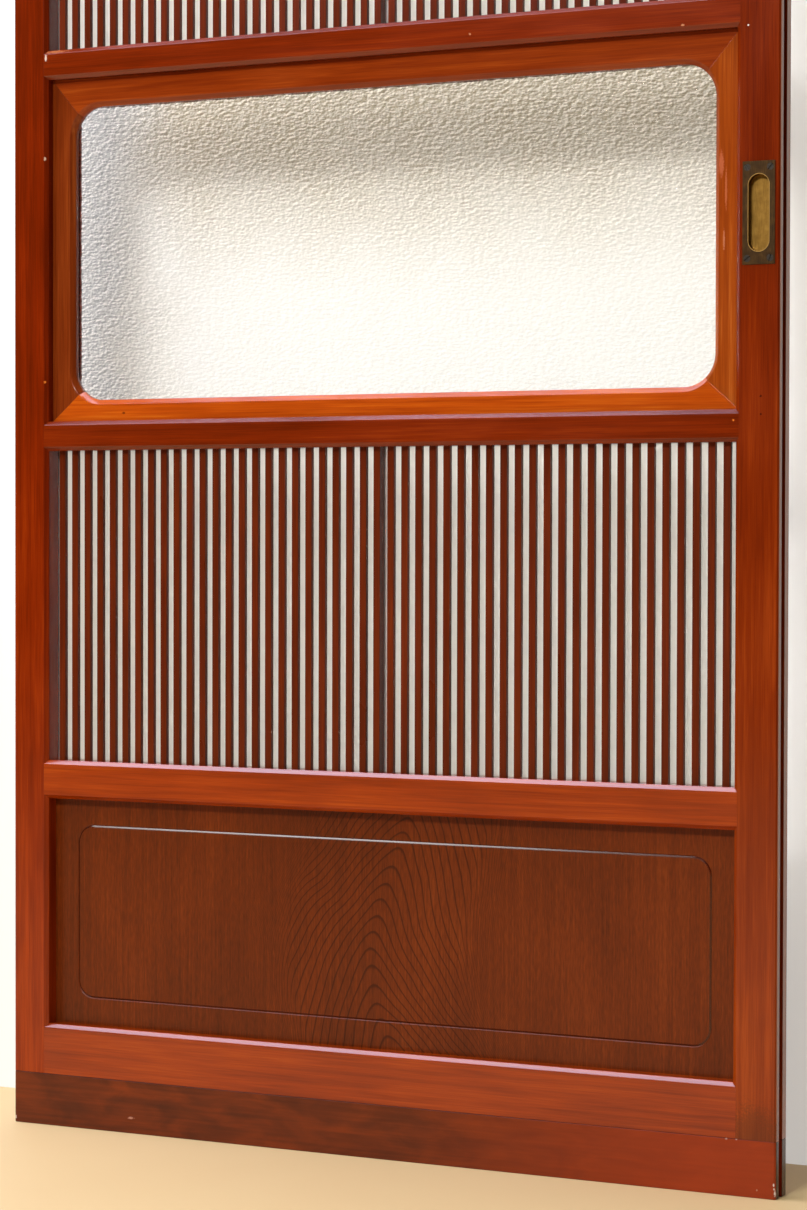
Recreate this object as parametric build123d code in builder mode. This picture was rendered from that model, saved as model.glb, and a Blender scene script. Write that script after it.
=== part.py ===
"""Sliding lattice door leaf, in millimetres.

The leaf stands upright on its bottom edge. X runs along its width, Y through its thickness with
the front face at -Y, and Z up. The origin is the centre of the bottom edge.

From the floor up: an extension board, the bottom rail, a recessed panel, a rail, a short lattice
of slats, a rail, a framed pane of figured glass, a rail, a tall lattice of slats and the top rail.
"""

from build123d import *
import os

os.makedirs("parts", exist_ok=True)

# Leaf: widths along X
opening_width = 798.0
left_stile_width = 43.0
right_stile_width = 46.0
door_thickness = 30.0

# Leaf: heights of rails and openings, from the floor up
extension_height = 56.5
bottom_rail_height = 54.7
panel_opening_height = 247.0
panel_rail_height = 41.8
lower_lattice_height = 337.5
glass_bottom_rail_height = 32.0
glass_opening_height = 371.3
glass_top_rail_height = 31.8
upper_lattice_height = 585.4
top_rail_height = 42.0

# Arrises: the chamfer round each opening, and the small one on the leaf's outer edges
opening_chamfer = 4.2
outer_chamfer = 2.0

# Groove that runs down the right edge and closes over the tongue of a jamb
edge_groove_lip = 8.0
edge_groove_width = 10.0
edge_groove_depth = 4.0

# Mortise and tenon joints
tenon_thickness = 10.0
tenon_length = 25.0
tenon_shoulder = 10.0
joint_clearance = 0.1
end_clearance = 0.8

# Lattices
slat_count = 49
slat_width = 7.6
slat_depth = 5.3
slat_setback = 12.0
housing_depth = 3.0
mullion_width = 7.0

# Frosted panes behind the lattices, each held in a rebate by beads
pane_setback = 23.0
pane_thickness = 3.0
pane_rebate = 6.0
pane_clearance = 0.5

# Mitred frame of the figured glass
subframe_setback = 12.0
subframe_side_width = 27.0
subframe_top_width = 30.8
subframe_bottom_width = 23.2
subframe_corner_radius = 33.0
subframe_chamfer = 5.0
glass_setback = 22.0
glass_thickness = 4.0
glass_rebate = 8.0

# Recessed panel with a scratched border line
panel_setback = 18.5
panel_thickness = 4.0
panel_groove_depth = 8.0
panel_clearance = 1.0
border_inset = 29.5
border_corner_radius = 18.4
border_line_width = 2.6
border_line_depth = 1.2

# Brass finger pull, let into the front face of the right stile
pull_height_above_floor = 959.2
pull_plate_width = 33.4
pull_plate_height = 100.0
pull_plate_thickness = 2.0
pull_plate_inlet = 1.2
recess_width = 21.4
recess_height = 75.0
recess_depth = 8.5
cup_wall = 1.0
pull_clearance = 0.1

# Finger recess cut straight into the back face of the right stile
back_recess_depth = 8.0
back_recess_chamfer = 1.5

# Wood screws of the pull, slotted, with countersunk heads
screw_head_radius = 3.5
screw_shank_radius = 1.5
screw_length = 11.0
screw_slot_width = 1.0
screw_slot_depth = 0.9
screw_side_inset = 4.85
screw_end_inset = 5.9
screw_clearance = 0.05

# Places worked out from the sizes above
front = -door_thickness / 2
back = door_thickness / 2
door_width = left_stile_width + opening_width + right_stile_width
left_edge = -door_width / 2
right_edge = door_width / 2
opening_left = left_edge + left_stile_width
opening_right = right_edge - right_stile_width
opening_centre = (opening_left + opening_right) / 2

bottom_rail_low = extension_height
panel_low = bottom_rail_low + bottom_rail_height
panel_high = panel_low + panel_opening_height
lower_lattice_low = panel_high + panel_rail_height
lower_lattice_high = lower_lattice_low + lower_lattice_height
glass_low = lower_lattice_high + glass_bottom_rail_height
glass_high = glass_low + glass_opening_height
upper_lattice_low = glass_high + glass_top_rail_height
upper_lattice_high = upper_lattice_low + upper_lattice_height
door_height = upper_lattice_high + top_rail_height

slat_gap = (opening_width - slat_count * slat_width) / (slat_count + 1)
slat_pitch = slat_width + slat_gap
pull_x = (opening_right + opening_chamfer + right_edge - outer_chamfer) / 2


def at_depth(distance):
    """Y of a plane that lies this far behind the front face."""
    return front + distance


def upright_plane(distance):
    """A plane this far behind the front face. Its normal points forwards, out of the leaf."""
    return Plane.XZ.offset(-at_depth(distance))


def save(piece, label):
    """Names a finished piece and writes its file."""
    piece.part.label = label
    export_step(piece.part, f"parts/{label}.step")


def cut_box(left, right, near, far, low, high):
    """Cuts a box out of the piece being made, between pairs of limits along X, Y and Z."""
    with Locations(((left + right) / 2, (near + far) / 2, (low + high) / 2)):
        Box(right - left, far - near, high - low, mode=Mode.SUBTRACT)


def stile_outline(inner, outer):
    """Corners of a stile's plan. The front arris beside the openings has the wide chamfer."""
    outward = 1 if outer > inner else -1
    return [
        (inner, back),
        (inner, front + opening_chamfer),
        (inner + outward * opening_chamfer, front),
        (outer - outward * outer_chamfer, front),
        (outer, front + outer_chamfer),
        (outer, back - outer_chamfer),
        (outer - outward * outer_chamfer, back),
    ]


left_stile_outline = stile_outline(opening_left, left_edge)
right_stile_outline = stile_outline(opening_right, right_edge)

# Each rail's low and high edge, in order from the floor up
rail_spans = [
    (bottom_rail_low, panel_low),
    (panel_high, lower_lattice_low),
    (lower_lattice_high, glass_low),
    (glass_high, upper_lattice_low),
    (upper_lattice_high, door_height),
]


# Stiles
def stile_blank(outline, inner, outward):
    """A stile with its mortises, its groove for the panel and its rebates for the panes."""
    with BuildPart() as blank:
        with BuildSketch(Plane.XY.offset(bottom_rail_low)):
            Polygon(*outline)
        extrude(amount=door_height - bottom_rail_low)
        mortise_depth = tenon_length + end_clearance
        mortise_thickness = tenon_thickness + 2 * joint_clearance
        for rail_low, rail_high in rail_spans:
            mortise_height = rail_high - rail_low - 2 * tenon_shoulder + 2 * joint_clearance
            with Locations((inner + outward * mortise_depth / 2, 0, (rail_low + rail_high) / 2)):
                Box(mortise_depth, mortise_thickness, mortise_height, mode=Mode.SUBTRACT)
        groove_end = inner + outward * panel_groove_depth
        cut_box(
            min(inner, groove_end),
            max(inner, groove_end),
            at_depth(panel_setback - joint_clearance),
            at_depth(panel_setback + panel_thickness + joint_clearance),
            panel_low - panel_groove_depth,
            panel_high + panel_groove_depth,
        )
        rebate_end = inner + outward * pane_rebate
        for low, high in (
            (lower_lattice_low, lower_lattice_high),
            (upper_lattice_low, upper_lattice_high),
        ):
            cut_box(
                min(inner, rebate_end),
                max(inner, rebate_end),
                at_depth(pane_setback),
                back,
                low - pane_rebate,
                high + pane_rebate,
            )
    return blank.part


def cut_edge_groove(low, high):
    """Cuts the closing groove out of the right edge of the piece being made."""
    cut_box(
        right_edge - edge_groove_depth,
        right_edge,
        at_depth(edge_groove_lip),
        at_depth(edge_groove_lip + edge_groove_width),
        low,
        high,
    )


with BuildPart() as left_stile:
    add(stile_blank(left_stile_outline, opening_left, -1))
save(left_stile, "left_stile")

# The pull's plate is let in only partly, so its face stands proud of the stile
plate_face_y = front - pull_plate_thickness + pull_plate_inlet
plate_face = Plane(
    origin=(pull_x, plate_face_y, pull_height_above_floor), x_dir=(1, 0, 0), z_dir=(0, -1, 0)
)
recess_face = Plane(
    origin=(pull_x, back, pull_height_above_floor), x_dir=(-1, 0, 0), z_dir=(0, 1, 0)
)
screw_spacing_x = pull_plate_width - 2 * screw_side_inset
screw_spacing_z = pull_plate_height - 2 * screw_end_inset
cup_depth = recess_depth + cup_wall

with BuildPart() as right_stile:
    add(stile_blank(right_stile_outline, opening_right, 1))
    cut_edge_groove(bottom_rail_low, door_height)
    with BuildSketch(plate_face):
        Rectangle(pull_plate_width + 2 * pull_clearance, pull_plate_height + 2 * pull_clearance)
    extrude(amount=-pull_plate_thickness, mode=Mode.SUBTRACT)
    with BuildSketch(plate_face):
        SlotOverall(
            recess_height + 2 * cup_wall + 2 * pull_clearance,
            recess_width + 2 * cup_wall + 2 * pull_clearance,
            rotation=90,
        )
    extrude(amount=-cup_depth - pull_clearance, mode=Mode.SUBTRACT)
    with Locations(plate_face):
        with GridLocations(screw_spacing_x, screw_spacing_z, 2, 2):
            Hole(screw_shank_radius + screw_clearance, screw_length + end_clearance)
    with BuildSketch(recess_face):
        SlotOverall(recess_height, recess_width, rotation=90)
    extrude(amount=-back_recess_depth, mode=Mode.SUBTRACT)
    back_face = right_stile.faces().sort_by(Axis.Y)[-1]
    chamfer(back_face.inner_wires()[0].edges(), length=back_recess_chamfer)
save(right_stile, "right_stile")


# Rails
def rail_blank(low, high, eased):
    """A rail scribed over the stiles, with a tenon at each end.

    The front of the rail runs out over the chamfers of the stiles, and its ends are cut back
    along them. A chamfer on the rail therefore meets the stile's chamfer in a mitre.
    """
    with BuildPart() as blank:
        with BuildSketch(Plane.YZ.offset(opening_left - opening_chamfer)):
            with Locations((0, (low + high) / 2)):
                Rectangle(door_thickness, high - low)
        extrude(amount=opening_width + 2 * opening_chamfer)
        front_face = blank.faces().sort_by(Axis.Y)[0]
        arrises = front_face.edges().filter_by(Axis.X).sort_by(Axis.Z)
        beside_opening = {"low": arrises[:1], "high": arrises[-1:], "both": arrises}[eased]
        chamfer(beside_opening, length=opening_chamfer)
        with BuildSketch(Plane.XY.offset(low)):
            Polygon(*left_stile_outline)
            Polygon(*right_stile_outline)
        extrude(amount=high - low, mode=Mode.SUBTRACT)
        for shoulder, outward in ((opening_left, -1), (opening_right, 1)):
            with Locations((shoulder + outward * tenon_length / 2, 0, (low + high) / 2)):
                Box(tenon_length, tenon_thickness, high - low - 2 * tenon_shoulder)
    return blank.part


def cut_pane_rebate(edge, inward):
    """Cuts the rebate for a pane and its bead along a rail's edge. Inward is up or down in Z."""
    ends = sorted((edge, edge + inward * pane_rebate))
    cut_box(opening_left, opening_right, at_depth(pane_setback), back, *ends)


def cut_lattice_housings(edge, inward):
    """Cuts the sockets that hold the ends of the slats and of the mullion behind them."""
    socket_depth = housing_depth + end_clearance
    socket_centre = edge + inward * socket_depth / 2
    slat_centre = at_depth(slat_setback + slat_depth / 2)
    with Locations((opening_centre, slat_centre, socket_centre)):
        with GridLocations(slat_pitch, slat_pitch, slat_count, 1):
            Box(
                slat_width + 2 * joint_clearance,
                slat_depth + 2 * joint_clearance,
                socket_depth,
                mode=Mode.SUBTRACT,
            )
    cut_box(
        opening_centre - mullion_width / 2 - joint_clearance,
        opening_centre + mullion_width / 2 + joint_clearance,
        at_depth(slat_setback + slat_depth),
        at_depth(pane_setback),
        *sorted((edge, edge + inward * socket_depth)),
    )


def cut_panel_groove(edge, inward):
    """Cuts the groove that holds the panel's edge along a rail. Inward is up or down in Z."""
    ends = sorted((edge, edge + inward * panel_groove_depth))
    near = at_depth(panel_setback - joint_clearance)
    far = at_depth(panel_setback + panel_thickness + joint_clearance)
    cut_box(opening_left, opening_right, near, far, *ends)


with BuildPart() as bottom_rail:
    add(rail_blank(bottom_rail_low, panel_low, "high"))
    cut_panel_groove(panel_low, -1)
save(bottom_rail, "bottom_rail")

with BuildPart() as panel_top_rail:
    add(rail_blank(panel_high, lower_lattice_low, "both"))
    cut_panel_groove(panel_high, 1)
    cut_pane_rebate(lower_lattice_low, -1)
    cut_lattice_housings(lower_lattice_low, -1)
save(panel_top_rail, "panel_top_rail")

with BuildPart() as glass_bottom_rail:
    add(rail_blank(lower_lattice_high, glass_low, "both"))
    cut_pane_rebate(lower_lattice_high, 1)
    cut_lattice_housings(lower_lattice_high, 1)
save(glass_bottom_rail, "glass_bottom_rail")

with BuildPart() as glass_top_rail:
    add(rail_blank(glass_high, upper_lattice_low, "both"))
    cut_pane_rebate(upper_lattice_low, -1)
    cut_lattice_housings(upper_lattice_low, -1)
save(glass_top_rail, "glass_top_rail")

with BuildPart() as top_rail:
    add(rail_blank(upper_lattice_high, door_height, "low"))
    cut_pane_rebate(upper_lattice_high, 1)
    cut_lattice_housings(upper_lattice_high, 1)
save(top_rail, "top_rail")

# Extension board under the bottom rail and the feet of both stiles
with BuildPart() as bottom_extension:
    with BuildSketch() as extension_plan:
        Rectangle(door_width, door_thickness)
        chamfer(extension_plan.vertices(), length=outer_chamfer)
    extrude(amount=extension_height)
    cut_edge_groove(0, extension_height)
save(bottom_extension, "bottom_extension")


# Lattices: upright slats let into the rails, and a mullion behind the middle one
def lattice_slats(low, high):
    """The slats of one lattice, each a separate stick with its ends in the rails' sockets."""
    with BuildPart() as slats:
        with BuildSketch(Plane.XY.offset(low - housing_depth)):
            with Locations((opening_centre, at_depth(slat_setback + slat_depth / 2))):
                with GridLocations(slat_pitch, slat_pitch, slat_count, 1):
                    Rectangle(slat_width, slat_depth)
        extrude(amount=high - low + 2 * housing_depth)
    return slats


def lattice_mullion(low, high):
    """The upright bar behind the middle slat, where two panes meet."""
    slat_back = at_depth(slat_setback + slat_depth)
    bar_depth = at_depth(pane_setback) - slat_back
    with BuildPart() as mullion:
        with BuildSketch(Plane.XY.offset(low - housing_depth)):
            with Locations((opening_centre, slat_back + bar_depth / 2)):
                Rectangle(mullion_width, bar_depth)
        extrude(amount=high - low + 2 * housing_depth)
    return mullion


def upright_sheet(left, right, low, high, setback, thickness):
    """A flat piece parallel to the front face, its own front this far behind it."""
    with BuildPart() as sheet:
        with BuildSketch(upright_plane(setback)):
            with Locations(((left + right) / 2, (low + high) / 2)):
                Rectangle(right - left, high - low)
        extrude(amount=-thickness)
    return sheet


def glaze_lattice(name, low, high):
    """The two frosted panes of one lattice and the beads that hold them in their rebate."""
    outer_left = opening_left - pane_rebate
    outer_right = opening_right + pane_rebate
    outer_low = low - pane_rebate
    outer_high = high + pane_rebate
    pane_ends = (outer_low + pane_clearance, outer_high - pane_clearance)
    half_gap = pane_clearance / 2
    left_pane = (outer_left + pane_clearance, opening_centre - half_gap)
    right_pane = (opening_centre + half_gap, outer_right - pane_clearance)
    save(
        upright_sheet(*left_pane, *pane_ends, pane_setback, pane_thickness),
        f"{name}_left_pane",
    )
    save(
        upright_sheet(*right_pane, *pane_ends, pane_setback, pane_thickness),
        f"{name}_right_pane",
    )
    bead_setback = pane_setback + pane_thickness
    bead_thickness = door_thickness - bead_setback
    half_mullion = mullion_width / 2
    bead_limits = {
        "bottom": (outer_left, outer_right, outer_low, low),
        "top": (outer_left, outer_right, high, outer_high),
        "left": (outer_left, opening_left, low, high),
        "right": (opening_right, outer_right, low, high),
        "middle": (opening_centre - half_mullion, opening_centre + half_mullion, low, high),
    }
    for side, limits in bead_limits.items():
        save(upright_sheet(*limits, bead_setback, bead_thickness), f"{name}_{side}_bead")


for lattice_name, lattice_low, lattice_high in (
    ("lower", lower_lattice_low, lower_lattice_high),
    ("upper", upper_lattice_low, upper_lattice_high),
):
    save(lattice_slats(lattice_low, lattice_high), f"{lattice_name}_slats")
    save(lattice_mullion(lattice_low, lattice_high), f"{lattice_name}_mullion")
    glaze_lattice(lattice_name, lattice_low, lattice_high)

# Mitred frame of the figured glass, with rounded inner corners
sight_left = opening_left + subframe_side_width
sight_right = opening_right - subframe_side_width
sight_low = glass_low + subframe_bottom_width
sight_high = glass_high - subframe_top_width
sight_centre = ((sight_left + sight_right) / 2, (sight_low + sight_high) / 2)


def mitre_point(corner_x, corner_z, sight_x, sight_z):
    """A point on the mitre line, carried past the sight line by the rounded corner's radius."""
    reach = 1 + subframe_corner_radius / subframe_side_width
    return (corner_x + reach * (sight_x - corner_x), corner_z + reach * (sight_z - corner_z))


outer_corners = {
    "bottom_left": (opening_left, glass_low),
    "bottom_right": (opening_right, glass_low),
    "top_right": (opening_right, glass_high),
    "top_left": (opening_left, glass_high),
}
inner_corners = {
    "bottom_left": mitre_point(opening_left, glass_low, sight_left, sight_low),
    "bottom_right": mitre_point(opening_right, glass_low, sight_right, sight_low),
    "top_right": mitre_point(opening_right, glass_high, sight_right, sight_high),
    "top_left": mitre_point(opening_left, glass_high, sight_left, sight_high),
}


def subframe_member(first, second):
    """One member of the frame, cut at the mitres between two neighbouring corners."""
    member_depth = door_thickness - subframe_setback
    rebate_size = (
        sight_right - sight_left + 2 * glass_rebate,
        sight_high - sight_low + 2 * glass_rebate,
    )
    with BuildPart() as member:
        with BuildSketch(upright_plane(subframe_setback)):
            with Locations((opening_centre, (glass_low + glass_high) / 2)):
                Rectangle(opening_width, glass_opening_height)
            with Locations(sight_centre):
                RectangleRounded(
                    sight_right - sight_left,
                    sight_high - sight_low,
                    subframe_corner_radius,
                    mode=Mode.SUBTRACT,
                )
        extrude(amount=-member_depth)
        front_face = member.faces().sort_by(Axis.Y)[0]
        chamfer(front_face.inner_wires()[0].edges(), length=subframe_chamfer)
        with BuildSketch(upright_plane(glass_setback)):
            with Locations(sight_centre):
                Rectangle(*rebate_size)
        extrude(amount=-(door_thickness - glass_setback), mode=Mode.SUBTRACT)
        with BuildSketch(upright_plane(subframe_setback)):
            Polygon(
                outer_corners[first],
                outer_corners[second],
                inner_corners[second],
                inner_corners[first],
            )
        extrude(amount=-member_depth, mode=Mode.INTERSECT)
    return member


save(subframe_member("bottom_left", "bottom_right"), "subframe_bottom")
save(subframe_member("bottom_right", "top_right"), "subframe_right")
save(subframe_member("top_right", "top_left"), "subframe_top")
save(subframe_member("top_left", "bottom_left"), "subframe_left")

glass_left = sight_left - glass_rebate
glass_right = sight_right + glass_rebate
glass_sheet_low = sight_low - glass_rebate
glass_sheet_high = sight_high + glass_rebate
figured_glass = upright_sheet(
    glass_left + pane_clearance,
    glass_right - pane_clearance,
    glass_sheet_low + pane_clearance,
    glass_sheet_high - pane_clearance,
    glass_setback,
    glass_thickness,
)
save(figured_glass, "figured_glass")

glass_bead_setback = glass_setback + glass_thickness
glass_bead_thickness = door_thickness - glass_bead_setback
glass_bead_limits = {
    "bottom": (glass_left, glass_right, glass_sheet_low, sight_low),
    "top": (glass_left, glass_right, sight_high, glass_sheet_high),
    "left": (glass_left, sight_left, sight_low, sight_high),
    "right": (sight_right, glass_right, sight_low, sight_high),
}
for bead_side, bead_edges in glass_bead_limits.items():
    glass_bead = upright_sheet(*bead_edges, glass_bead_setback, glass_bead_thickness)
    save(glass_bead, f"glass_{bead_side}_bead")

# Recessed panel, its edges in the grooves, with a line scratched round it near the frame
panel_plane = Plane(
    origin=(opening_centre, at_depth(panel_setback), (panel_low + panel_high) / 2),
    x_dir=(1, 0, 0),
    z_dir=(0, -1, 0),
)
panel_overhang = panel_groove_depth - panel_clearance

with BuildSketch(panel_plane) as border:
    RectangleRounded(
        opening_width - 2 * border_inset,
        panel_opening_height - 2 * border_inset,
        border_corner_radius,
    )
border_line = border.sketch.wire()
into_panel = Vector(0, 1, 0)
line_section = Plane(
    origin=border_line @ 0,
    x_dir=into_panel.cross(border_line % 0),
    z_dir=border_line % 0,
)

with BuildPart() as lower_panel:
    with BuildSketch(panel_plane):
        Rectangle(opening_width + 2 * panel_overhang, panel_opening_height + 2 * panel_overhang)
    extrude(amount=-panel_thickness)
    with BuildSketch(line_section):
        Polygon(
            (-border_line_width, -border_line_depth),
            (border_line_width, -border_line_depth),
            (0, border_line_depth),
        )
    sweep(path=border_line, mode=Mode.SUBTRACT)
save(lower_panel, "lower_panel")

# Finger pull: a brass plate with a drawn cup
with BuildPart() as finger_pull:
    with BuildSketch(plate_face):
        Rectangle(pull_plate_width, pull_plate_height)
    extrude(amount=-pull_plate_thickness)
    with BuildSketch(plate_face):
        SlotOverall(recess_height + 2 * cup_wall, recess_width + 2 * cup_wall, rotation=90)
    extrude(amount=-cup_depth)
    with BuildSketch(plate_face):
        SlotOverall(recess_height, recess_width, rotation=90)
    extrude(amount=-recess_depth, mode=Mode.SUBTRACT)
    with Locations(plate_face):
        with GridLocations(screw_spacing_x, screw_spacing_z, 2, 2):
            CounterSinkHole(
                radius=screw_shank_radius + screw_clearance,
                counter_sink_radius=screw_head_radius + screw_clearance,
                depth=pull_plate_thickness,
                counter_sink_angle=90,
            )
save(finger_pull, "finger_pull")

# Wood screw with its axis on Z and the rim of its head at the origin
head_depth = screw_head_radius - screw_shank_radius

with BuildPart() as screw:
    with BuildSketch(Plane.XZ):
        with BuildLine():
            Polyline(
                (0, 0),
                (0, -screw_length),
                (screw_shank_radius, -screw_length),
                (screw_shank_radius, -head_depth),
                (screw_head_radius, 0),
                close=True,
            )
        make_face()
    revolve(axis=Axis.Z)
    Box(2 * screw_head_radius, screw_slot_width, 2 * screw_slot_depth, mode=Mode.SUBTRACT)

# The slots stand at the angles where each screw came tight
slot_angles = (35, 120, 70, 50)
corners = GridLocations(screw_spacing_x, screw_spacing_z, 2, 2).local_locations

with BuildPart(plate_face) as pull_screws:
    for corner, angle in zip(corners, slot_angles):
        with Locations(corner * Location((0, 0, 0), (0, 0, angle))):
            add(screw.part)
save(pull_screws, "pull_screws")
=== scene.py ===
# %% [markdown]
# # Dressing a sliding lattice door leaf
#
# The solids of the leaf come from the frame: stiles, rails, slats, panes, beads, a mitred glass
# frame, a veneered panel and a brass finger pull. This notebook gives them their finishes, swaps
# the flat sheet of figured glass for a pebbled one, lays a polished strip in the panel's border
# groove, and sets up a plain studio with a camera.
#
# Everything is in metres: X runs along the leaf's width, -Y out of its front face and Z up. Small
# sizes are written in millimetres and multiplied by MM.

# %% Load the frame
import math

import bpy
import numpy as np
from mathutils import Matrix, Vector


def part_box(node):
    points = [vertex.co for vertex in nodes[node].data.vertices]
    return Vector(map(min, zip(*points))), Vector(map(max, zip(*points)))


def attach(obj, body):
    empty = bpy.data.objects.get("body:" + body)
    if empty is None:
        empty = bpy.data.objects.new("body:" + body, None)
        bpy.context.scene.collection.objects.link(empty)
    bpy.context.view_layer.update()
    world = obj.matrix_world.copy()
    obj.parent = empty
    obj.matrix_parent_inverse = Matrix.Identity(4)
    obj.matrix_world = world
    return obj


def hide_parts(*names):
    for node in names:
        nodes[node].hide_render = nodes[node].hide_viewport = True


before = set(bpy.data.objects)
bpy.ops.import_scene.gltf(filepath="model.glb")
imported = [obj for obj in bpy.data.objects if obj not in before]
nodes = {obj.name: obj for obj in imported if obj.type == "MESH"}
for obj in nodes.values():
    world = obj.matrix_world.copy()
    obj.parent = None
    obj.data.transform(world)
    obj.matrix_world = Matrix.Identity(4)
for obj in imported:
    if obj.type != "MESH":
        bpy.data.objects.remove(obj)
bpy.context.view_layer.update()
scene = bpy.context.scene
scene.view_settings.view_transform = "Standard"
MM = 0.001
print("nodes in the frame:", len(nodes))

# %% [markdown]
# ## Three small helpers
#
# Colours are written as sRGB hex, the way a paint chart or a picture editor gives them, while
# shaders work in linear light, so the first helper turns one into the other. The second adds a
# node, sets its properties and fills its inputs. The third starts a material.
#
# Inputs that share a name go by number. A Mix of colours has its factor at 0 and its two colours
# at 6 and 7. A Map Range has the value at 0, the range that it comes from at 1 and 2, and the
# range that it goes to at 3 and 4.


# %% Colour, node and material helpers
def linear(hex_colour):
    """Each channel c of an sRGB colour becomes ((c + 0.055) / 1.055) ** 2.4, or c / 12.92 when dark."""
    channels = [int(hex_colour[i:i + 2], 16) / 255 for i in (1, 3, 5)]
    curve = [c / 12.92 if c <= 0.04045 else ((c + 0.055) / 1.055) ** 2.4 for c in channels]
    return (*curve, 1.0)


def add_node(tree, kind, inputs=None, stops=(), **settings):
    """Adds a node, sets its properties and then its inputs, by name or number. A value that is a
    node links its first output in use, and one that is a socket links itself. A colour ramp takes
    its stops as (position, sRGB hex)."""
    node = tree.nodes.new(kind)
    for name, value in settings.items():
        setattr(node, name, value)
    for key, value in (inputs or {}).items():
        if isinstance(value, bpy.types.Node):
            value = next(socket for socket in value.outputs if socket.enabled)
        if isinstance(value, bpy.types.NodeSocket):
            tree.links.new(value, node.inputs[key])
        else:
            node.inputs[key].default_value = value
    for position, _ in stops[2:]:
        node.color_ramp.elements.new(position)
    for index, (position, colour) in enumerate(stops):
        node.color_ramp.elements[index].position = position
        node.color_ramp.elements[index].color = linear(colour)
    return node


def new_material(name):
    """A material, its emptied node tree, and the Object coordinates that its patterns follow."""
    material = bpy.data.materials.new(name)
    material.use_nodes = True
    tree = material.node_tree
    tree.nodes.clear()
    place = add_node(tree, "ShaderNodeTexCoord").outputs["Object"]
    return material, tree, place


print("a mid grey in linear light:", round(linear("#808080")[0], 3))

# %% [markdown]
# ## Camera
#
# The camera stands at the viewing angle of the reference: to the right of the leaf, low, with a
# long lens. Its place and its three turns were worked out from the leaf's own straight edges: a
# yaw to the left, a slight look down and a trace of roll.

# %% Camera
camera_place = (1.4865, -2.8651, 0.6416)
camera_yaw = math.radians(26.973)
camera_pitch = math.radians(-1.204)
camera_roll = math.radians(-0.12)
lens_length = 92.6
sensor_long_side = 36.0
sight_end = 60.0

camera_data = bpy.data.cameras.new("door_camera")
camera_data.lens = lens_length
camera_data.sensor_width = sensor_long_side
camera_data.clip_end = sight_end
camera = bpy.data.objects.new("door_camera", camera_data)
camera.rotation_mode = "XYZ"
camera.location = camera_place
camera.rotation_euler = (math.pi / 2 + camera_pitch, camera_roll, camera_yaw)
scene.collection.objects.link(camera)
scene.camera = camera
print("camera stands at", tuple(camera.location))

# %% [markdown]
# ## Floor and wall
#
# Lacquer shows what stands around it, so the studio matters as much as the finish. The leaf stands
# on a pale floor, about 15 cm in front of a pale wall. The wall is painted on its front only, and
# rays that meet its back pass through, so that the leaf's own back can be looked at too. Its paint
# glows a little for camera, glossy and transmitted rays, which whitens the background with no more
# light on the leaf. The glow is too weak to be worth aiming rays at, so it isn't sampled as a lamp.

# %% Floor and wall
floor_half = 9.0
wall_gap = 0.16
wall_high = 7.0
wall_glow = 0.42
scuffs_per_metre = 3.0


def flat_sheet(name, corners):
    """One face through four corners, in order, so its normal follows the right hand."""
    mesh = bpy.data.meshes.new(name)
    mesh.from_pydata(corners, [], [(0, 1, 2, 3)])
    sheet = bpy.data.objects.new(name, mesh)
    scene.collection.objects.link(sheet)
    return sheet


floor_material, tree, place = new_material("matt_pale_floor_paint")
scuffs = add_node(tree, "ShaderNodeTexNoise", {"Vector": place, "Scale": scuffs_per_metre, "Detail": 2.0})
floor_colour = add_node(tree, "ShaderNodeMix", {0: scuffs, 6: linear("#DEC48F"), 7: linear("#D6BA85")},
                        data_type="RGBA")
floor_paint = add_node(tree, "ShaderNodeBsdfPrincipled", {"Base Color": floor_colour, "Roughness": 0.6})
add_node(tree, "ShaderNodeOutputMaterial", {"Surface": floor_paint})

floor = flat_sheet("studio_floor", [(-floor_half, -floor_half, 0), (floor_half, -floor_half, 0),
                                    (floor_half, floor_half, 0), (-floor_half, floor_half, 0)])
floor.data.materials.append(floor_material)

wall_material, tree, place = new_material("matt_white_wall_paint")
rays = add_node(tree, "ShaderNodeLightPath")
seen = add_node(tree, "ShaderNodeMath", {0: rays.outputs["Is Camera Ray"],
                                         1: rays.outputs["Is Transmission Ray"]}, operation="MAXIMUM")
seen = add_node(tree, "ShaderNodeMath", {0: seen, 1: rays.outputs["Is Glossy Ray"]}, operation="MAXIMUM")
glow = add_node(tree, "ShaderNodeMath", {0: seen, 1: wall_glow}, operation="MULTIPLY")
wall_paint = add_node(tree, "ShaderNodeBsdfPrincipled",
                      {"Base Color": linear("#C2C1BF"), "Roughness": 1.0, "Specular IOR Level": 0.0,
                       "Emission Color": linear("#FFFDF8"), "Emission Strength": glow})
see_through = add_node(tree, "ShaderNodeBsdfTransparent")
side = add_node(tree, "ShaderNodeNewGeometry").outputs["Backfacing"]
one_way = add_node(tree, "ShaderNodeMixShader", {0: side, 1: wall_paint, 2: see_through})
add_node(tree, "ShaderNodeOutputMaterial", {"Surface": one_way})
wall_material.cycles.emission_sampling = "NONE"

wall = flat_sheet("studio_wall", [(-floor_half, wall_gap, 0), (floor_half, wall_gap, 0),
                                  (floor_half, wall_gap, wall_high), (-floor_half, wall_gap, wall_high)])
wall.data.materials.append(wall_material)
print("stage:", floor.name, "and", wall.name)

# %% [markdown]
# ## The room
#
# The world stands for the rest of the room. It gives a little even light, and it is white where
# the camera or the glass looks straight at it. Glossy rays see a dim room in front of the leaf and
# a bright one behind it, so the red stain keeps its depth while metal and glass still shine.

# %% World
room_light = 0.12
dim_front = 0.03
bright_from = 0.3

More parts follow.
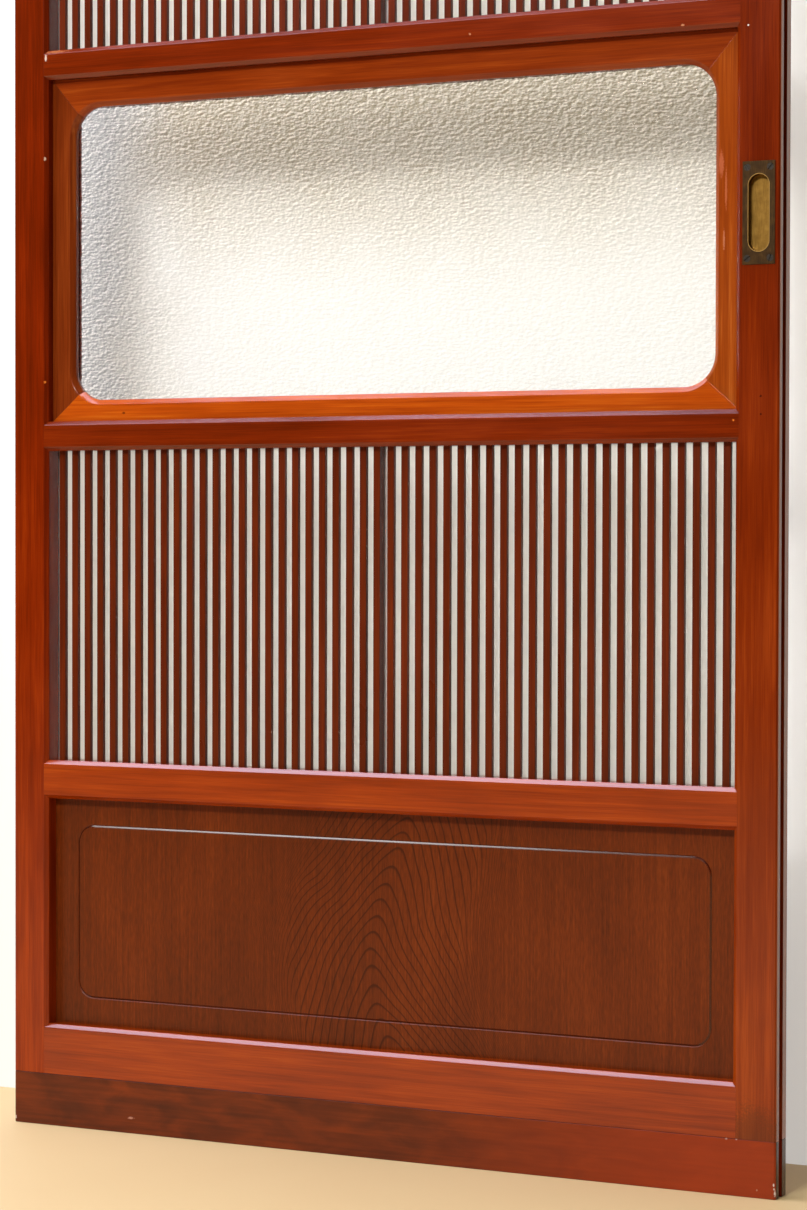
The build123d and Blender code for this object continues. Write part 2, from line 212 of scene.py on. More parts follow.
world = bpy.data.worlds.new("studio_room")
scene.world = world
world.use_nodes = True
tree = world.node_tree
tree.nodes.clear()
rays = add_node(tree, "ShaderNodeLightPath")
direction = add_node(tree, "ShaderNodeTexCoord").outputs["Generated"]
parts = add_node(tree, "ShaderNodeSeparateXYZ", {0: direction})
behind = add_node(tree, "ShaderNodeMapRange", {0: parts.outputs["Y"], 1: 0.0, 2: bright_from,
                                               3: dim_front, 4: 1.0})
seen = add_node(tree, "ShaderNodeMath", {0: rays.outputs["Is Camera Ray"],
                                         1: rays.outputs["Is Transmission Ray"]}, operation="MAXIMUM")
plain = add_node(tree, "ShaderNodeMix", {0: seen, 2: room_light, 3: 1.0})
strength = add_node(tree, "ShaderNodeMix", {0: rays.outputs["Is Glossy Ray"], 2: plain, 3: behind})
room = add_node(tree, "ShaderNodeBackground", {0: linear("#F6F6F6"), 1: strength})
add_node(tree, "ShaderNodeOutputWorld", {"Surface": room})
print("world:", world.name, "gives", room_light, "of white")

# %% [markdown]
# ## Lamps
#
# A lamp far in front, above eye level, lights the face and throws the short shadows under the
# rails. A wide, faintly violet one hangs overhead, off to the left, and the chamfers that face up
# mirror it as pale lines. A long narrow one up on the left stands where the panel's border strip
# mirrors it, which draws the border line. The last one is behind the wall, for the leaf's back.


# %% Lamps
def studio_lamp(name, place, aim, size, watts, tint="#FFFFFF"):
    """A rectangular lamp, its size given as width and height, that is turned to face the aim."""
    data = bpy.data.lights.new(name, "AREA")
    data.shape = "RECTANGLE"
    data.size, data.size_y = size
    data.energy = watts
    data.color = linear(tint)[:3]
    lamp = bpy.data.objects.new(name, data)
    lamp.location = place
    towards = Vector(aim) - Vector(place)
    lamp.rotation_euler = towards.to_track_quat("-Z", "Y").to_euler()
    scene.collection.objects.link(lamp)
    return lamp


lamps = [
    studio_lamp("front_lamp", place=(0.0, -5.5, 3.55), aim=(0.0, 0.0, 0.6), size=(1.5, 0.8), watts=235),
    studio_lamp("left_lamp", place=(-1.64, -2.05, 2.75), aim=(0.0, 0.0, 0.33), size=(2.1, 0.5), watts=32),
    studio_lamp("overhead_lamp", place=(-1.15, -0.25, 2.75), aim=(-1.15, -0.25, 0.0), size=(2.1, 1.3),
                watts=95, tint="#EAE7FF"),
    studio_lamp("back_lamp", place=(0.8, 3.4, 2.4), aim=(0.0, 0.0, 0.8), size=(1.6, 1.6), watts=50),
]
print("lamps:", [lamp.name for lamp in lamps])

# %% [markdown]
# ## Stretched noise
#
# The leaf is red-brown stained hardwood under a hard glossy lacquer. The eye sees three scales at
# once: broad lighter and darker patches a hand wide, streaks of growth rings a few millimetres
# wide, and fibres. Each is a noise that is stretched along the grain, so one function draws them
# all, with the grain along Z in upright pieces and along X in the rest. Real fibres are finer than
# the render can show, so they are drawn 0.9 mm wide.

# %% Noise helpers
plank_step = (1.0, 1.7, 2.3)
noise_mean = 0.5


def stretched_noise(tree, place, along, width, length, shift=0.0, detail=3.0, distortion=0.0):
    """Noise whose spots are width across the grain and length along it, in millimetres. The shift
    moves the pattern, so that no two planks are alike."""
    across, lengthways = 1 / MM / width, 1 / MM / length
    scale = (lengthways, across, across) if along == "X" else (across, across, lengthways)
    moved = tuple(shift * step for step in plank_step)
    mapped = add_node(tree, "ShaderNodeMapping", {"Vector": place, "Location": moved, "Scale": scale})
    return add_node(tree, "ShaderNodeTexNoise", {"Vector": mapped, "Scale": 1.0, "Detail": detail,
                                                 "Distortion": distortion})


def weighted_sum(tree, terms):
    """The noises' mean plus each noise's distance from it times its weight."""
    total = noise_mean
    for noise, weight in terms:
        centred = add_node(tree, "ShaderNodeMath", {0: noise, 1: noise_mean}, operation="SUBTRACT")
        total = add_node(tree, "ShaderNodeMath", {0: centred, 1: weight, 2: total}, operation="MULTIPLY_ADD")
    return total


print("a 5 mm streak takes a noise scale of", 1 / MM / 5.0)

# %% [markdown]
# ## Worn spots
#
# Years of sliding and knocking have left small chips, dents and rubbed places. They could be cut
# into the mesh, but most are under 3 mm across and flat, so they are spots of another colour with
# an outline that noise frays.

# %% Spots
fray_per_metre = 700.0
fray_depth = 1.2
spot_gone = 1.6
spot_full = 1.2


def add_marks(tree, colour, place, marks):
    """Each mark is (centre, half size, sRGB hex, strength), in millimetres. The distance from its
    centre, in half sizes, plus the fray times noise says how far out a point lies: the spot is
    full up to about 0.6 of its size and gone at 1."""
    fray = add_node(tree, "ShaderNodeTexNoise", {"Vector": place, "Scale": fray_per_metre, "Detail": 1.0})
    for centre, size, stain, strength in marks:
        offset = add_node(tree, "ShaderNodeVectorMath",
                          {0: place, 1: tuple(c * MM for c in centre)}, operation="SUBTRACT")
        share = add_node(tree, "ShaderNodeVectorMath",
                         {0: offset, 1: tuple(1 / (s * MM) for s in size)}, operation="MULTIPLY")
        reach = add_node(tree, "ShaderNodeVectorMath", {0: share}, operation="LENGTH")
        frayed = add_node(tree, "ShaderNodeMath", {0: fray, 1: fray_depth, 2: reach},
                          operation="MULTIPLY_ADD")
        spot = add_node(tree, "ShaderNodeMapRange", {0: frayed, 1: spot_gone, 2: spot_full,
                                                     3: 0.0, 4: strength})
        colour = add_node(tree, "ShaderNodeMix", {0: spot, 6: colour, 7: linear(stain)}, data_type="RGBA")
    return colour


leaf_front = round(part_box("left_stile")[0].y / MM, 2)
glass_frame_front = round(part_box("subframe_top")[0].y / MM, 2)
pale_wood = "#D9B79A"
orange_wood = "#E07A2A"
dark_dent = "#3A0E02"
white_chip = "#E8D8CC"
print("marks lie on the faces at", leaf_front, "and", glass_frame_front, "mm")

# %% [markdown]
# ## Stained and lacquered wood
#
# One function makes the wood of every piece from its own stain, so that neighbours differ as
# planks do. The noises add up to a tone, and a ramp of stain colours turns the tone into colour.
# The lacquer is smooth, with an IOR of about 1.5 and a low roughness that wavers with the broad
# patches, so it mirrors the lamps as soft, slightly uneven lines.

# %% Lacquered wood
streak_stretch = 45
fibre_size = (0.9, 45)
patch_size = (45, 160)
pale_from = 1.2
pale_to = 0.1
lip_width = 0.3
lip_sheen_share = 0.55
lip_sheen = "#A8826C"


def lacquered_wood(name, along, stops, shift=0.0, ring=5.0, contrast=1.0, marks=(), roughness=0.16,
                   shine=0.3, paling=0.0, lip=None):
    """Stained wood under lacquer. The stops are the stain's colours from dark to light, ring is
    the width of its streaks in millimetres, and shift moves the pattern to another plank. Paling
    lightens the foot, and lip is the x, in millimetres, past which an edge takes a painted pale sheen."""
    material, tree, place = new_material(name)
    rings = stretched_noise(tree, place, along, ring, ring * streak_stretch, shift, 4.0, 0.5)
    fibres = stretched_noise(tree, place, along, *fibre_size, shift + 3, 2.0)
    patches = stretched_noise(tree, place, along, *patch_size, shift + 7, 2.0)
    axes = add_node(tree, "ShaderNodeSeparateXYZ", {0: place})
    low_down = add_node(tree, "ShaderNodeMapRange", {0: axes.outputs["Z"], 1: pale_from, 2: pale_to})
    tone = weighted_sum(tree, [(rings, 0.5 * contrast), (fibres, 0.35 * contrast),
                               (patches, 0.4 * contrast), (low_down, paling)])
    colour = add_node(tree, "ShaderNodeValToRGB", {0: tone}, stops)
    # Painted sheen: past the lip the colour turns pale pink-brown, standing in for the wall mirrored in the
    # edge.
    if lip is not None:
        wear_and_sheen = add_node(tree, "ShaderNodeMapRange", {0: axes.outputs["X"], 1: lip * MM,
                                                       2: (lip + lip_width) * MM, 3: 0.0, 4: lip_sheen_share})
        colour = add_node(tree, "ShaderNodeMix", {0: wear_and_sheen, 6: colour, 7: linear(lip_sheen)},
                          data_type="RGBA")
    colour = add_marks(tree, colour, place, marks)
    gloss = add_node(tree, "ShaderNodeMapRange", {0: patches, 1: 0.3, 2: 0.7, 3: roughness - 0.03,
                                                  4: roughness + 0.05})
    lacquer = add_node(tree, "ShaderNodeBsdfPrincipled", {"Base Color": colour, "Roughness": gloss,
                                                          "IOR": 1.5, "Specular IOR Level": shine})
    add_node(tree, "ShaderNodeOutputMaterial", {"Surface": lacquer})
    return material


print("fibres", fibre_size, "and patches", patch_size, "in mm, across and along the grain")

# %% [markdown]
# ## Stiles and rails
#
# The two stiles are the tallest planks and grow paler towards the foot. The right one has a
# painted pale sheen on its outer lip, for the pale wall mirrored there, two dents below the pull,
# a dark patch at its foot and white chips. The two rails round the panel have a lighter, more
# orange stain than the three above them.

# %% Stiles and rails
outer_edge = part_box("right_stile")[1].x / MM
lip_reach = 0.6

left_stile_wood = lacquered_wood(
    "lacquered_left_stile", "Z",
    [(0.30, "#5C1800"), (0.46, "#701E00"), (0.56, "#7E2501"), (0.72, "#983604")],
    shift=1.0, ring=6.0, paling=0.26,
    marks=[((-403.5, leaf_front, 1055), (1.2, 4, 2.5), pale_wood, 0.9),
           ((-403.6, leaf_front, 812.5), (1.2, 4, 1.8), orange_wood, 0.9)])
right_stile_wood = lacquered_wood(
    "lacquered_right_stile", "Z",
    [(0.30, "#5E1902"), (0.46, "#722302"), (0.56, "#7E2A03"), (0.72, "#983D0A")],
    shift=5.0, ring=6.0, paling=0.25, lip=outer_edge - lip_reach,
    marks=[((424.5, leaf_front, 781.5), (1.3, 4, 1.6), dark_dent, 0.9),
           ((424.6, leaf_front, 764.1), (1.2, 4, 1.4), dark_dent, 0.9),
           ((421, leaf_front, 50), (34, 6, 46), "#54290C", 0.5),
           ((400.1, leaf_front, 1147.6), (0.9, 4, 1.1), white_chip, 0.9),
           ((409.9, leaf_front, 1141.1), (0.9, 4, 0.9), white_chip, 0.9)])

upper_stain = [(0.30, "#581800"), (0.46, "#6B1F01"), (0.56, "#752301"), (0.72, "#893004")]
lower_stain = [(0.30, "#722201"), (0.46, "#882D02"), (0.56, "#943403"), (0.72, "#A84508")]
upper_rail_wood = lacquered_wood(
    "lacquered_upper_rails", "X", upper_stain, shift=9.0, ring=5.0, shine=0.42,
    marks=[((-390, leaf_front, 1171), (22, 5, 2.2), "#A9653A", 0.8),
           ((-401.7, leaf_front, 1164.4), (1.8, 4, 4.5), "#D8C0AE", 0.9),
           ((110.2, leaf_front, 1153.8), (1.6, 4, 1.3), "#C98A62", 0.8),
           ((341.8, leaf_front, 1146), (2.0, 4, 1.2), "#C98A62", 0.8),
           ((396.0, leaf_front, 758.7), (1.3, 4, 1.2), orange_wood, 0.9)])
lower_rail_wood = lacquered_wood("lacquered_lower_rails", "X", lower_stain, shift=29.0, ring=5.0, shine=0.42)
print("wood materials:", left_stile_wood.name, right_stile_wood.name, upper_rail_wood.name)

# %% [markdown]
# ## Slats, beads and glass frame
#
# The slats are the same wood, with only their fibres showing, and duller than the rails. Their
# colour, which the mullions share, is darker and browner than the rails' as painted shade, for
# the shade they lie in between the rails and the panes. The mitred glass frame is more orange,
# with grain that runs along each member, so each takes a material of its own: the top and left
# ones are darker than the others, and the right one carries long scratches.

# %% Slats, beads and glass frame
# Painted shade: the slats' and mullions' stops are darker and browner than the rails', for the shade between
# the rails.
shaded_slat_wood = lacquered_wood(
    "lacquered_slats_painted_shade", "Z",
    [(0.30, "#461703"), (0.46, "#561B03"), (0.58, "#662202"), (0.74, "#7C2F05")],
    shift=13.0, ring=3.0, contrast=0.7, roughness=0.3, shine=0.18)
bead_wood = lacquered_wood("lacquered_beads", "X", upper_stain, shift=17.0, ring=4.0, roughness=0.3)

glass_frame_top = lacquered_wood(
    "lacquered_glass_frame_top", "X",
    [(0.28, "#6A2204"), (0.45, "#7C2C06"), (0.57, "#8A3508"), (0.74, "#A24B13")], shift=23.0, ring=4.0)
glass_frame_foot = lacquered_wood(
    "lacquered_glass_frame_foot", "X",
    [(0.28, "#8A3204"), (0.45, "#A64206"), (0.57, "#B64E08"), (0.74, "#C86614")], shift=21.0, ring=4.0,
    marks=[((-309.3, glass_frame_front, 777.7), (2.4, 4, 1.6), "#5A2204", 0.8)])
glass_frame_left = lacquered_wood(
    "lacquered_glass_frame_left", "Z",
    [(0.28, "#581F06"), (0.45, "#692707"), (0.57, "#762F0A"), (0.74, "#8E4516")], shift=25.0, ring=4.0,
    marks=[((-372.5, glass_frame_front, 874.3), (2.0, 6, 5.0), "#2A1006", 0.95)])
glass_frame_right = lacquered_wood(
    "lacquered_glass_frame_right", "Z",
    [(0.28, "#762E08"), (0.45, "#8C3B0A"), (0.57, "#9A460E"), (0.74, "#B66222")], shift=33.0, ring=4.0,
    marks=[((378, glass_frame_front, 1010), (3.0, 4, 14), "#C06A48", 0.6),
           ((383, glass_frame_front, 985), (1.4, 4, 22), "#C87048", 0.5),
           ((381, glass_frame_front, 935), (1.2, 4, 12), "#D8906A", 0.4)])
print("glass frame:", glass_frame_top.name, "and three more")

# %% [markdown]
# ## Extension board
#
# The board under the leaf has been stained by hand, over and over: it is blotchy, redder to the
# right where the stain lies thin, dark along its worn top edge and right end, and has a few chips
# that show bare wood. Blotches and streaks are two more stretched noises, and the worn edge is a
# band under the top whose strength breaks up along its length.

# %% Extension board
board_low, board_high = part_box("bottom_extension")
rub_height = 1.0 * MM
end_reach = 0.7 * MM
end_fade = 0.4 * MM
redder_from = 0.05
redder_to = 0.36
redder_share = 0.5
bare_wood = "#E6DCD2"

extension_wood, tree, place = new_material("hand_stained_extension")
blotches = stretched_noise(tree, place, "X", 22, 60, 31.0, 3.0, 0.8)
streaks = stretched_noise(tree, place, "X", 3.0, 120, 35.0, 3.0)
breaks = stretched_noise(tree, place, "X", 6, 40, 39.0, 3.0)
tone = weighted_sum(tree, [(blotches, 0.7), (streaks, 0.4)])
colour = add_node(tree, "ShaderNodeValToRGB", {0: tone},
                  [(0.28, "#481905"), (0.45, "#5A2005"), (0.58, "#682606"), (0.75, "#7C2D06")])
axes = add_node(tree, "ShaderNodeSeparateXYZ", {0: place})
redder = add_node(tree, "ShaderNodeMapRange", {0: axes.outputs["X"], 1: redder_from, 2: redder_to,
                                               3: 0.0, 4: redder_share})
colour = add_node(tree, "ShaderNodeMix", {0: redder, 6: colour, 7: linear("#AC3604")}, data_type="RGBA")
near_top = add_node(tree, "ShaderNodeMapRange", {0: axes.outputs["Z"], 1: board_high.z - rub_height,
                                                 2: board_high.z})
wear_and_sheen = add_node(tree, "ShaderNodeMapRange", {0: breaks, 1: 0.3, 2: 0.5, 3: 0.2, 4: 0.8})
rub_line = add_node(tree, "ShaderNodeMath", {0: near_top, 1: wear_and_sheen}, operation="MULTIPLY")
colour = add_node(tree, "ShaderNodeMix", {0: rub_line, 6: colour, 7: linear("#3A1C10")}, data_type="RGBA")
end_start = board_high.x - end_reach
end_dark = add_node(tree, "ShaderNodeMapRange", {0: axes.outputs["X"], 1: end_start, 2: end_start + end_fade})
colour = add_node(tree, "ShaderNodeMix", {0: end_dark, 6: colour, 7: linear("#4A2C1C")}, data_type="RGBA")
colour = add_marks(tree, colour, place, [
    ((441.2, leaf_front, 14.5), (0.9, 4, 1.6), bare_wood, 0.9),
    ((442.3, leaf_front, 6.2), (1.0, 4, 3.2), bare_wood, 0.9),
    ((441.6, leaf_front, 10.4), (0.8, 4, 1.3), bare_wood, 0.9),
    ((424.0, leaf_front, 8.0), (0.9, 4, 1.2), "#B08A70", 0.8),
    ((392.0, leaf_front, 55.6), (1.6, 4, 0.9), "#B09080", 0.8),
    ((402.5, leaf_front, 55.8), (1.1, 4, 0.8), "#B09080", 0.8),
    ((-292.7, leaf_front, 16.8), (4.2, 4, 1.4), "#B98470", 0.8),
    ((-441.5, leaf_front, 5.5), (1.4, 4, 2.2), "#D8CCC0", 0.9)])
stain_coat = add_node(tree, "ShaderNodeBsdfPrincipled", {"Base Color": colour, "Roughness": 0.27,
                                                         "IOR": 1.5, "Specular IOR Level": 0.3})
add_node(tree, "ShaderNodeOutputMaterial", {"Surface": stain_coat})
print("extension board is", round((board_high.z - board_low.z) / MM, 1), "mm high")

# %% [markdown]
# ## Arches of the veneer
#
# The panel is veneer sliced flat through the log. Cut so, the growth rings make nested arches, the
# cathedral, with fine upright lines either side. Each ring is the line where one sum is constant:
# the height z plus a hyperbola of the distance x from the arches' middle. Far from the middle a
# second hyperbola packs the lines closer, as they lie near the edge of the log. The middle itself
# wanders with height, because the tree wasn't straight.

# %% Arches
arch_spacing = 17.7
arch_middle = 13.0
arch_wander = 22.0
wander_low = 115.0
wander_rise = 185.0
arch_round = 22.0
arch_slope = 1.85
flank_start = 95.0
flank_round = 330.0
flank_slope = 9.0
warps_per_metre = 16.0
warp_reach = (0.009, 0.0, 0.018)

veneer, tree, place = new_material("lacquered_cathedral_veneer")
warp_noise = add_node(tree, "ShaderNodeTexNoise", {"Vector": place, "Scale": warps_per_metre, "Detail": 1.5})
warp = add_node(tree, "ShaderNodeVectorMath", {0: warp_noise.outputs["Color"], 1: (noise_mean,) * 3},
                operation="SUBTRACT")
warped = add_node(tree, "ShaderNodeVectorMath", {0: warp, 1: warp_reach, 2: place}, operation="MULTIPLY_ADD")
in_mm = add_node(tree, "ShaderNodeVectorMath", {0: warped, "Scale": 1 / MM}, operation="SCALE")
axes = add_node(tree, "ShaderNodeSeparateXYZ", {0: in_mm})
turn = add_node(tree, "ShaderNodeMapRange", {0: axes.outputs["Z"], 1: wander_low, 2: wander_low + wander_rise,
                                             3: 0.0, 4: math.pi}, clamp=False)
swing = add_node(tree, "ShaderNodeMath", {0: turn}, operation="SINE")
middle = add_node(tree, "ShaderNodeMath", {0: swing, 1: -arch_wander, 2: arch_middle},
                  operation="MULTIPLY_ADD")
from_middle = add_node(tree, "ShaderNodeMath", {0: axes.outputs["X"], 1: middle}, operation="SUBTRACT")
far = add_node(tree, "ShaderNodeMath", {0: from_middle}, operation="ABSOLUTE")


def hyperbola(distance, roundness, slope):
    """The square root of roundness squared plus (slope times distance) squared."""
    sloped = add_node(tree, "ShaderNodeMath", {0: distance, 1: slope}, operation="MULTIPLY")
    squared = add_node(tree, "ShaderNodeMath", {0: sloped, 1: sloped, 2: roundness ** 2},
                       operation="MULTIPLY_ADD")
    return add_node(tree, "ShaderNodeMath", {0: squared, 1: 0.5}, operation="POWER")


arch = hyperbola(far, arch_round, arch_slope)
past_flank = add_node(tree, "ShaderNodeMath", {0: far, 1: flank_start}, operation="SUBTRACT")
past_flank = add_node(tree, "ShaderNodeMath", {0: past_flank, 1: 0.0}, operation="MAXIMUM")
flank = hyperbola(past_flank, flank_round, flank_slope)
level = add_node(tree, "ShaderNodeMath", {0: axes.outputs["Z"], 1: arch}, operation="ADD")
level = add_node(tree, "ShaderNodeMath", {0: level, 1: flank}, operation="ADD")
count = add_node(tree, "ShaderNodeMath", {0: level, 1: arch_spacing}, operation="DIVIDE")
ring = add_node(tree, "ShaderNodeMath", {0: count}, operation="FRACT")
print("arches every", arch_spacing, "mm up the middle")

# %% [markdown]
# ## Colour of the veneer
#
# A growth ring darkens slowly and ends at once, so its late wood is one thin dark line. The lines
# fade towards the panel's ends, where the veneer is almost plain. Between them lie fine upright
# grain, short flecks of pores and broad clouds, again as stretched noise.

# %% Veneer
line_reach = (85.0, 240.0)
line_strength = 0.8

ring_line = add_node(tree, "ShaderNodeValToRGB", {0: ring},
                     [(0.0, "#FFFFFF"), (0.06, "#303030"), (0.12, "#000000"), (0.80, "#2A2A2A"),
                      (0.93, "#FFFFFF")])
fading = add_node(tree, "ShaderNodeMapRange", {0: far, 1: line_reach[0], 2: line_reach[1],
                                               3: line_strength, 4: 0.0})
fine = stretched_noise(tree, place, "Z", 1.9, 120, 41.0, 2.0)
broad = stretched_noise(tree, place, "Z", 60, 200, 45.0, 2.0)
flecks = stretched_noise(tree, place, "Z", 1.1, 9, 43.0, 1.0)
tone = weighted_sum(tree, [(fine, 0.4), (flecks, 0.45), (broad, 0.35)])
ground = add_node(tree, "ShaderNodeValToRGB", {0: tone},
                  [(0.30, "#4E1E05"), (0.48, "#602506"), (0.58, "#6A2A07"), (0.75, "#78340C")])
line_share = add_node(tree, "ShaderNodeMath", {0: ring_line, 1: fading}, operation="MULTIPLY")
colour = add_node(tree, "ShaderNodeMix", {0: line_share, 6: ground, 7: linear("#3A1403")}, data_type="RGBA")
relief = add_node(tree, "ShaderNodeBump", {"Height": fine, "Strength": 0.06, "Distance": 0.4 * MM})
lacquer = add_node(tree, "ShaderNodeBsdfPrincipled", {"Base Color": colour, "Roughness": 0.3, "IOR": 1.5,
                                                      "Specular IOR Level": 0.2, "Normal": relief})
add_node(tree, "ShaderNodeOutputMaterial", {"Surface": lacquer})
print("veneer nodes:", len(tree.nodes))

# %% [markdown]
# ## Aged brass
#
# The pull is pressed brass that has gone olive-brown with handling. It stays brighter in the
# recess, where fingertips rub it up and down, and a painted highlight, a thin line of bright brass,
# runs along the recess's rim. The rim is the outline of a slot, a straight stretch with two half
# rounds. A point's distance from the slot's middle line is the length of (x, the height past the
# straight stretch), and the rim lies where that is the rounds' radius. Metal keeps the default
# IOR, because its colour is its reflection.

# %% Brass
pull_low, pull_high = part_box("finger_pull")
pull_middle = (pull_low + pull_high) / 2
recess_round = 10.7 * MM
recess_straight = 26.8 * MM
rim_width = 0.7 * MM
rim_bright = 0.25 * MM
rim_depth = 2.2 * MM
rim_top = 1.2 * MM
rub_above_floor = 2.2 * MM
rub_fade = 2 * MM
recess_bright = pull_high.y - rub_above_floor
recess_dull = recess_bright - rub_fade
tarnish_per_metre = 130.0

aged_brass, tree, place = new_material("aged_hand_rubbed_brass")
tarnish = add_node(tree, "ShaderNodeTexNoise", {"Vector": place, "Scale": tarnish_per_metre, "Detail": 4.0})
brushed = stretched_noise(tree, place, "Z", 0.5, 14, 51.0, 2.0)
tone = weighted_sum(tree, [(tarnish, 0.5), (brushed, 0.5)])
dull = add_node(tree, "ShaderNodeValToRGB", {0: tone},
                [(0.30, "#2C1D0D"), (0.50, "#3E2A13"), (0.70, "#573E1C")])
bright = add_node(tree, "ShaderNodeValToRGB", {0: tone},
                  [(0.30, "#6E501C"), (0.50, "#886428"), (0.70, "#A07C38")])
axes = add_node(tree, "ShaderNodeSeparateXYZ", {0: place})
inside = add_node(tree, "ShaderNodeMapRange", {0: axes.outputs["Y"], 1: recess_dull, 2: recess_bright})
colour = add_node(tree, "ShaderNodeMix", {0: inside, 6: dull, 7: bright}, data_type="RGBA")
rise = add_node(tree, "ShaderNodeMath", {0: axes.outputs["Z"], 1: pull_middle.z}, operation="SUBTRACT")
rise = add_node(tree, "ShaderNodeMath", {0: rise}, operation="ABSOLUTE")
rise = add_node(tree, "ShaderNodeMath", {0: rise, 1: recess_straight}, operation="SUBTRACT")
rise = add_node(tree, "ShaderNodeMath", {0: rise, 1: 0.0}, operation="MAXIMUM")
aside = add_node(tree, "ShaderNodeMath", {0: axes.outputs["X"], 1: pull_middle.x}, operation="SUBTRACT")
out = add_node(tree, "ShaderNodeCombineXYZ", {0: aside, 1: rise})
reach = add_node(tree, "ShaderNodeVectorMath", {0: out}, operation="LENGTH")
# Painted highlight: a thin line of bright brass along the rim, near the face.
from_rim = add_node(tree, "ShaderNodeMath", {0: reach, 1: recess_round}, operation="SUBTRACT")
from_rim = add_node(tree, "ShaderNodeMath", {0: from_rim}, operation="ABSOLUTE")
near_rim = add_node(tree, "ShaderNodeMapRange", {0: from_rim, 1: rim_width, 2: rim_bright})
near_face = add_node(tree, "ShaderNodeMapRange", {0: axes.outputs["Y"], 1: pull_low.y + rim_depth,
                                                  2: pull_low.y + rim_top})
painted_rim_highlight = add_node(tree, "ShaderNodeMath", {0: near_rim, 1: near_face}, operation="MULTIPLY")
colour = add_node(tree, "ShaderNodeMix", {0: painted_rim_highlight, 6: colour, 7: linear("#AE8A4C")}, data_type="RGBA")
relief = add_node(tree, "ShaderNodeBump", {"Height": brushed, "Strength": 0.15, "Distance": 0.2 * MM})
brass = add_node(tree, "ShaderNodeBsdfPrincipled", {"Base Color": colour, "Metallic": 0.85, "Roughness": 0.42,
                                                    "Normal": relief})
add_node(tree, "ShaderNodeOutputMaterial", {"Surface": brass})
print("pull stands", round((pull_high.z - pull_low.z) / MM, 1), "mm high")

# %% [markdown]
# ## Dark screws
#
# The four slotted screws are turned steel, darkened by oil and years of dust in their slots. A
# fine noise of about a millimetre mottles them.

# %% Steel
grime_per_metre = 900.0

oiled_steel, tree, place = new_material("oil_blackened_steel")
grime = add_node(tree, "ShaderNodeTexNoise", {"Vector": place, "Scale": grime_per_metre, "Detail": 2.0})
colour = add_node(tree, "ShaderNodeMix", {0: grime, 6: linear("#2C261E"), 7: linear("#57504A")},
                  data_type="RGBA")
steel = add_node(tree, "ShaderNodeBsdfPrincipled", {"Base Color": colour, "Metallic": 0.9, "Roughness": 0.34})
add_node(tree, "ShaderNodeOutputMaterial", {"Surface": steel})
print("screws take", oiled_steel.name)

# %% [markdown]
# ## Frosted panes
#
# Behind each lattice lie two panes of sand-blasted glass. One face is ground to a fine matt, so
# light comes through and nothing is seen but an even white, which the slats cut into stripes.

# %% Frosted glass
mottles_per_metre = 60.0

frosted_glass, tree, place = new_material("sandblasted_frosted_glass")
mottle = add_node(tree, "ShaderNodeTexNoise", {"Vector": place, "Scale": mottles_per_metre, "Detail": 3.0})
colour = add_node(tree, "ShaderNodeMix", {0: mottle, 6: linear("#E6E3DB"), 7: linear("#E3E0D7")},
                  data_type="RGBA")
ground_glass = add_node(tree, "ShaderNodeBsdfPrincipled", {"Base Color": colour, "Roughness": 0.5, "IOR": 1.5,
                                                           "Transmission Weight": 0.9})
add_node(tree, "ShaderNodeOutputMaterial", {"Surface": ground_glass})
print("panes take", frosted_glass.name)

# %% [markdown]
# ## Relief of the figured glass
#
# The middle pane is rolled glass: molten glass passed under an engraved roller, which left low
# pebbles a few millimetres across, longer than they are high. The pebbles have to be real, as they
# are what bends the light. Their height is worked out from smooth noise on a plane.

# %% Pebbles
pebble_wide = 5.2 * MM
pebble_high = 3.1 * MM
pebble_relief = 0.9 * MM
bend_length = 20 * MM
bend_reach = 0.8
second_wide = 0.6
second_high = 0.62
second_start = 40
table_size = 512


def lattice_noise(u, v, seed):
    """Smooth noise on a plane: random values at whole numbers, blended by 3t^2 - 2t^3 between."""
    values = np.random.default_rng(seed).random((table_size, table_size))
    whole_u, whole_v = np.floor(u).astype(int), np.floor(v).astype(int)
    part_u, part_v = u - whole_u, v - whole_v
    blend_u = part_u * part_u * (3 - 2 * part_u)
    blend_v = part_v * part_v * (3 - 2 * part_v)

    def corner(right, up):
        return values[(whole_u + right) % table_size, (whole_v + up) % table_size]

    low = corner(0, 0) * (1 - blend_u) + corner(1, 0) * blend_u
    high = corner(0, 1) * (1 - blend_u) + corner(1, 1) * blend_u
    return low * (1 - blend_v) + high * blend_v


def pebbles(x, z):
    """Height of the relief: two smooth noises at pebble size, one finer, bent by a slow one."""
    bend = lattice_noise(x / bend_length, z / bend_length, 3) * bend_reach
    coarse = lattice_noise(x / pebble_wide + bend, z / pebble_high + bend, 5)
    second = lattice_noise(x / (second_wide * pebble_wide) + second_start,
                           z / (second_high * pebble_high) - bend + second_start, 7)
    return pebble_relief * (0.62 * coarse + 0.38 * second)


print("pebbles of about", round(pebble_wide / MM, 1), "by", round(pebble_high / MM, 1), "mm")

# %% [markdown]
# ## Sheet of figured glass
#
# The pebbled sheet is a new surface in place of the flat one, in the same box. Its front is a grid
# of points whose depth is the pebbles' relief, and its back and rim are flat, so it stays a closed
# solid, which glass needs. The relief fades out at the rim, where beads hold the pane.

# %% Figured glass sheet
grid_wide = 2.05 * MM
grid_high = 1.35 * MM


